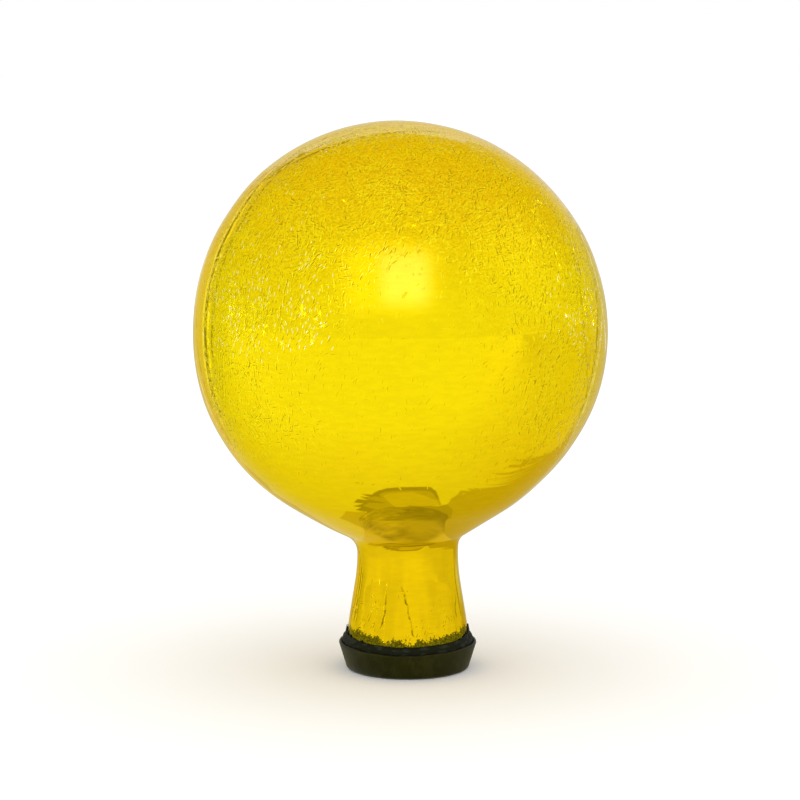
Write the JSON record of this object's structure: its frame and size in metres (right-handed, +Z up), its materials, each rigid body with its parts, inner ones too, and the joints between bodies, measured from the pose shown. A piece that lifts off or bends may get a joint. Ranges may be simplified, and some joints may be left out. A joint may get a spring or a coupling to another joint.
{
  "type": "gazing ball",
  "caption": "Hollow blown crackle-glass ball, silvered inside, with a short flared neck set in a low rubber stopper and sealed; stands upright on its flat foot.",
  "frame": {"origin": "middle of the stopper's flat foot, on the neck's axis, on the surface that it stands on", "axes": "+Z up along the neck, the front as pictured faces -Y, +X to the right seen from the front"},
  "size_m": [0.254, 0.254, 0.3378],
  "materials": {
    "silvered_glass": "polished",
    "black_rubber": "matte",
    "black_sealant": "satin"
  },
  "bodies": {
    "root": {"globe": "silvered_glass", "stopper": "black_rubber", "sealing_bead": "black_sealant"}
  },
  "joints": []
}
